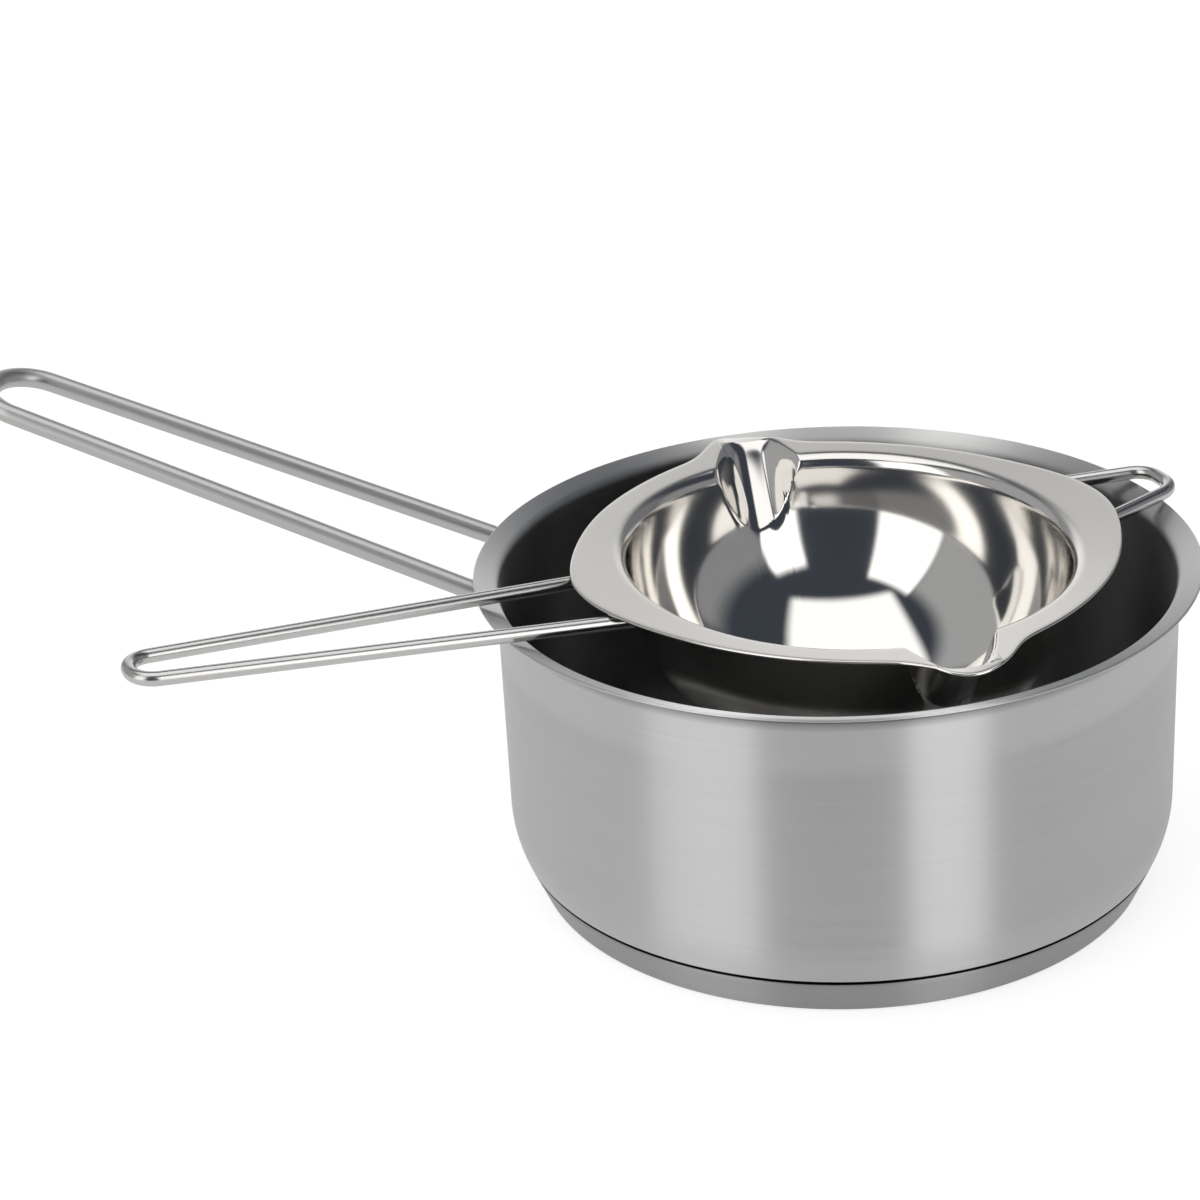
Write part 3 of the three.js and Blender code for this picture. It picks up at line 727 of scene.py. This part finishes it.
def bowl_steel():
    """A mirror where the polish value is high, and a fine satin elsewhere."""
    n = Material("bowl_steel")
    at = n.coords("Object")
    polish = n.attribute("polish")
    cloud = n.stretched_noise(at, BOWL_CLOUDS, detail=2.0)
    waves = n.stretched_noise(at, BOWL_WAVES, detail=1.0)
    n.set(
        Base_Color=n.mix_colour(polish, n.colour(cloud, *SATIN_COLOURS), n.colour(cloud, *MIRROR_COLOURS)),
        Roughness=n.mix(polish, n.varied(cloud, *SATIN_ROUGHNESS), n.varied(cloud, *MIRROR_ROUGHNESS)),
        Normal=n.bump(waves, BOWL_WAVE_DEPTH, strength=0.4),
    )
    return n.material


def wire_steel(name, colours, roughness):
    """Drawn wire, with fine lines along it."""
    n = Material(name)
    lines = n.stretched_noise(n.coords("UV"), WIRE_LINES, detail=2.0)
    n.set(Base_Color=n.colour(lines, *colours), Roughness=n.varied(lines, *roughness))
    return n.material


def grained_metal(name, colours, roughness):
    n = Material(name)
    grain = n.stretched_noise(n.coords("Object"), GRAIN, detail=4.0)
    n.set(
        Base_Color=n.colour(grain, *colours),
        Roughness=n.varied(grain, *roughness),
        Normal=n.bump(grain, GRAIN_DEPTH, strength=0.4),
    )
    return n.material


pan_metal = pan_steel()
bowl_metal = bowl_steel()
satin_wire = wire_steel("satin_wire", ((0.52, 0.515, 0.505), (0.6, 0.595, 0.585)), (0.36, 0.44))
bright_wire = wire_steel("bright_wire", ((0.58, 0.57, 0.555), (0.65, 0.64, 0.625)), (0.2, 0.27))
weld_metal = grained_metal("weld_metal", ((0.42, 0.41, 0.39), (0.56, 0.55, 0.53)), (0.28, 0.45))
core_metal = grained_metal("core_aluminium", ((0.7, 0.71, 0.72), (0.8, 0.81, 0.82)), (0.4, 0.55))

# The saucepan

POLISHED_BAND = 15.0  # bright band under the rim
BAND_EDGE = 1.5
# The lip's satin also carries painted light, a lighter colour than the wall's
LIP_SATIN = 3.0  # the lip's satin begins this far below its top
LIP_EDGE = 1.2  # height over which it gives way to the inside
# Painted shade, as shares of the painted shade colour: a dark line under the lip and a darker inside of the
# pan
UNDER_LIP = (0.8, 1.5)  # heights above the plate's top where the shade under the lip begins and is full
UNDER_LIP_SHADE = 0.75
INSIDE_SHADE = 0.45
# Painted shade: the share by which the cap's outside is darkened
CAP_SHADE = 0.35
SLACK = 0.05  # for telling which points lie on an edge

outside, inside = pan_profiles()
band = np.clip((outside[:, 1] - (PAN_HEIGHT - POLISHED_BAND - BAND_EDGE)) / BAND_EDGE, 0, 1)
band[outside[:, 1] < PAN_HEIGHT - PAN_SHEET] *= BAND_POLISH
on_lip = np.clip((inside[:, 1] - (PAN_HEIGHT - LIP_SATIN)) / LIP_EDGE, 0, 1)
pan_polish = np.concatenate([band, BAND_POLISH + (1 - BAND_POLISH) * on_lip])
# Painted shade: the groove between the cap and the belly is fully dark, with a dark line under the lip and
# a darker inside
in_groove = (outside[:, 1] < groove_top + SLACK) & (outside[:, 0] < belly_foot_radius - SLACK)
under_lip = np.interp(outside[:, 1] - lip_start, UNDER_LIP, (0, UNDER_LIP_SHADE))
under_lip[outside[:, 1] > PAN_HEIGHT - PAN_SHEET - SLACK] = 0
pan_shade = np.concatenate([np.maximum(in_groove, under_lip), INSIDE_SHADE * (1 - on_lip)])
points, faces = revolve(np.vstack([outside, inside]))
make_piece("saucepan_vessel", points, faces, pan_metal, "saucepan", ["pan_body"],
           {"polish": spun(pan_polish), "shade": spun(pan_shade)})

cap = cap_profile()
# Painted shade: the cap's top edge and inner side are fully dark as part of the groove, and its outside is
# darkened
cap_inside = (cap[:, 0] < cap_radius_at(cap[:, 1]) - cap_wall_across / 2) & (cap[:, 1] > 0)
cap_shade = np.where(cap_inside | (cap[:, 1] > BASE_HEIGHT - SLACK), 1.0, CAP_SHADE)
points, faces = revolve(cap)
make_piece("saucepan_base", points, faces, pan_metal, "saucepan", ["base_cap"],
           {"polish": np.zeros(len(points)), "shade": spun(cap_shade)})

# The weld plate takes the lip's satin and its colour with painted light
points, faces = plate_mesh()
make_piece("saucepan_weld_plate", points, faces, pan_metal, "saucepan", ["pan_handle_plate"],
           {"polish": np.ones(len(points)), "shade": np.zeros(len(points))})

points, faces, uvs = wire_tube(pan_handle_line(), PAN_WIRE)
make_piece("saucepan_wire_handle", points, faces, satin_wire, "saucepan", ["pan_handle"],
           uvs=uvs)

for side, sign in (("left", -1), ("right", 1)):
    points, faces = weld_bead(sign)
    make_piece(f"saucepan_weld_{side}", points, faces, weld_metal, "saucepan")

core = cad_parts["base_core_disc"]
core.data.materials.clear()
core.data.materials.append(core_metal)

# The melting bowl

FLANGE_FINISH = (0.0, 0.8, 3.0, 14.0, 40.0)  # drops below the flange's plane where the polish changes
FLANGE_POLISH = (0.0, 0.62, 0.58, 0.78, 0.98)
POCKET_POLISH = 0.82
POCKET_EDGE = 3.0  # depth below the round bowl over which a trough's polish begins
OUTSIDE_POLISH = 0.6

points, faces = bowl_shell_mesh()
upper = np.arange(len(points) - 2) // BOWL_RAYS < BOWL_RINGS
radius = np.hypot(points[1:-1, 0], points[1:-1, 1])
drop = (radius - FLANGE_RADIUS) * math.tan(FLANGE_SLOPE) - points[1:-1, 2]
angle = np.arctan2(points[1:-1, 1], points[1:-1, 0])
pocket = (round_bowl_height(radius / oval_scale(angle)) - points[1:-1, 2]) / POCKET_EDGE
shine = np.interp(drop, FLANGE_FINISH, FLANGE_POLISH)
shine += (POCKET_POLISH - shine) * np.clip(pocket, 0, 1)
shine = np.where(upper, shine, OUTSIDE_POLISH)
bowl_polish = np.concatenate([[1.0], shine, [OUTSIDE_POLISH]])
make_piece("bowl_pressed_shell", placed(points, bowl_place), faces, bowl_metal, "melting_bowl",
           ["bowl_shell"], {"polish": bowl_polish})

handle_line = flange_loop_line(-1, BOWL_HANDLE_PAST_LIP, BOWL_HANDLE_ROOT_WIDTH, BOWL_HANDLE_END_WIDTH,
                               BOWL_HANDLE_END_BEND, aside=0)
points, faces, uvs = wire_tube(handle_line, BOWL_WIRE)
make_piece("bowl_wire_handle", placed(points, bowl_place), faces, bright_wire, "melting_bowl",
           ["bowl_handle"], uvs=uvs)

hook_line = flange_loop_line(1, HOOK_PAST_LIP, HOOK_ROOT_WIDTH, HOOK_END_WIDTH, HOOK_END_BEND, HOOK_ASIDE)
points, faces, uvs = wire_tube(hook_line, BOWL_WIRE)
make_piece("bowl_wire_hook", placed(points, bowl_place), faces, bright_wire, "melting_bowl",
           ["bowl_hook"], uvs=uvs)

# Camera

CAMERA_PLACE = (0.11007, -0.59898, 0.34542)
CAMERA_TURN = math.radians(15.7)
CAMERA_DIP = math.radians(24.347)
CAMERA_ROLL = math.radians(-3.298)
CAMERA_LENS = 83.633
CAMERA_SENSOR = 36
CAMERA_CLIP = (0.01, 20)


def camera():
    data = bpy.data.cameras.new("camera")
    data.sensor_width = CAMERA_SENSOR
    data.lens = CAMERA_LENS
    data.clip_start, data.clip_end = CAMERA_CLIP
    view = bpy.data.objects.new("camera", data)
    bpy.context.scene.collection.objects.link(view)
    turn = (Matrix.Rotation(CAMERA_TURN, 4, "Z") @ Matrix.Rotation(math.pi / 2 - CAMERA_DIP, 4, "X")
            @ Matrix.Rotation(CAMERA_ROLL, 4, "Z"))
    view.matrix_world = Matrix.Translation(CAMERA_PLACE) @ turn
    bpy.context.scene.camera = view


# Floor and studio

WHITE = (1, 1, 1, 1)
FLOOR_HALF = 3.0
FLOOR_DROP = 0.0003
FLOOR_COLOUR = (0.5, 0.5, 0.5, 1)
FLOOR_GLOW = 0.78  # towards the camera
FLOOR_MIRRORED = 0.5  # towards the metal


def floor_sheet():
    data = bpy.data.meshes.new("floor")
    signs = ((-1, -1), (1, -1), (1, 1), (-1, 1))
    corners = [(x * FLOOR_HALF, y * FLOOR_HALF, -FLOOR_DROP) for x, y in signs]
    data.from_pydata(corners, [], [(0, 1, 2, 3)])
    sheet = bpy.data.objects.new("floor", data)
    bpy.context.scene.collection.objects.link(sheet)
    n = Material("pale_floor", metallic=0.0)
    path = n.add("ShaderNodeLightPath")
    seen = n.math("MULTIPLY", path.outputs["Is Camera Ray"], FLOOR_GLOW)
    mirrored = n.math("MULTIPLY", path.outputs["Is Glossy Ray"], FLOOR_MIRRORED)
    n.set(
        Base_Color=FLOOR_COLOUR,
        Roughness=0.9,
        Specular_IOR_Level=0.0,
        Emission_Color=WHITE,
        Emission_Strength=n.math("ADD", seen, mirrored),
    )
    data.materials.append(n.material)


# Cards of the studio, in degrees from the camera's side towards its right, and up from the floor:
# from and to around, from and to upwards, brightness, softness of the sides and of the ends
STUDIO = {
    "left_softbox": (-68, -31, -90, 51, 1.5, 2, 2.5),
    "right_softbox": (17, 43, -90, 44, 1.95, 2.5, 4),
    "left_wall": (-141, -68, -90, 48, 0.36, 4, 5),
    "right_wall": (43, 111, -90, 36, 0.23, 6, 7),
    "back_left": (-190, -141, -90, 36, 0.26, 4, 8),
    "back_right": (111, 190, -90, 36, 0.15, 6, 8),
    "back_middle_right": (155, 190, -90, 31, 1.0, 12, 14),
    "back_middle_left": (-190, -155, -90, 31, 1.0, 12, 14),
}
# A square softbox overhead, by its place on a ceiling one unit up: from and to towards the camera,
# from and to its right, brightness, softness of the edges
OVERHEAD = (-0.6, 0.42, -0.59, 0.41, 1.25, 0.06)
LOWEST_CEILING_RAY = 0.1
STUDIO_DARK = (0.048, 0.056, 0.072)
STUDIO_WHITE = (1, 0.995, 0.985)


def studio_world():
    world = bpy.data.worlds.new("studio")
    bpy.context.scene.world = world
    world.use_nodes = True
    world.node_tree.nodes.clear()
    n = Nodes(world.node_tree)
    heading = n.add("ShaderNodeTexCoord").outputs["Generated"]
    turned = n.add("ShaderNodeVectorRotate", {"rotation_type": "Z_AXIS"}, Vector=heading,
                   Angle=math.pi / 2 - CAMERA_TURN)
    split = n.add("ShaderNodeSeparateXYZ", None, Vector=turned.outputs[0])
    x, y, z = (split.outputs[axis] for axis in "XYZ")
    around = n.math("DEGREES", n.math("ARCTAN2", y, x))
    upward = n.math("DEGREES", n.math("ARCSINE", z))
    height = n.math("MAXIMUM", z, LOWEST_CEILING_RAY)
    near, far, left, right, level, soft = OVERHEAD
    light = n.math("MULTIPLY", n.between(n.math("DIVIDE", x, height), near, far, soft),
                   n.between(n.math("DIVIDE", y, height), left, right, soft, level))
    for left, right, low, high, level, side_soft, end_soft in STUDIO.values():
        card = n.math("MULTIPLY", n.between(around, left, right, side_soft),
                      n.between(upward, low, high, end_soft, level))
        light = n.math("MAXIMUM", light, card)
    tint = n.add("ShaderNodeVectorMath", {"operation": "MULTIPLY_ADD"})
    n.put_all(tint.inputs, (light, STUDIO_WHITE, STUDIO_DARK))
    seen = n.add("ShaderNodeLightPath").outputs["Is Camera Ray"]
    back = n.add("ShaderNodeBackground", None, Color=n.mix_colour(seen, tint.outputs[0], WHITE))
    n.add("ShaderNodeOutputWorld", None, Surface=back.outputs[0])


camera()
floor_sheet()
studio_world()
bpy.context.scene.view_settings.view_transform = "Standard"
